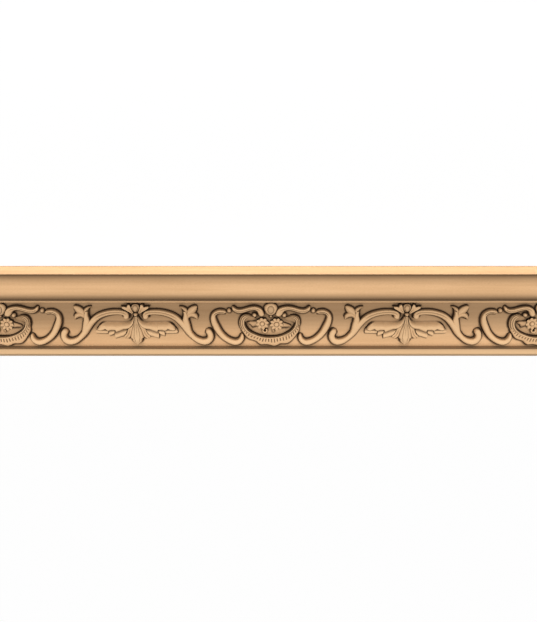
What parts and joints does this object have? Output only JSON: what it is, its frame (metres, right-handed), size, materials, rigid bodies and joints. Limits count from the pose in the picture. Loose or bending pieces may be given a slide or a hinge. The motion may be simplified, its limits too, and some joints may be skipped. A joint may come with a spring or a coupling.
{
  "type": "carved frieze moulding",
  "caption": "Length of carved wooden frieze moulding: ogee crown, flat field with scrolls, palmettes and flower baskets in low relief, and a raised foot bead; flat back.",
  "frame": {"origin": "middle of the flat back, which lies on the floor", "axes": "+X along the stock, +Y across the face towards the crown edge, +Z out of the carved face"},
  "size_m": [1.2, 0.105, 0.025],
  "materials": {
    "carved_wood": "smooth bare light-brown wood, matt, with dark crevices round the carving"
  },
  "bodies": {
    "root": {"frieze_moulding": "carved_wood"}
  },
  "joints": []
}
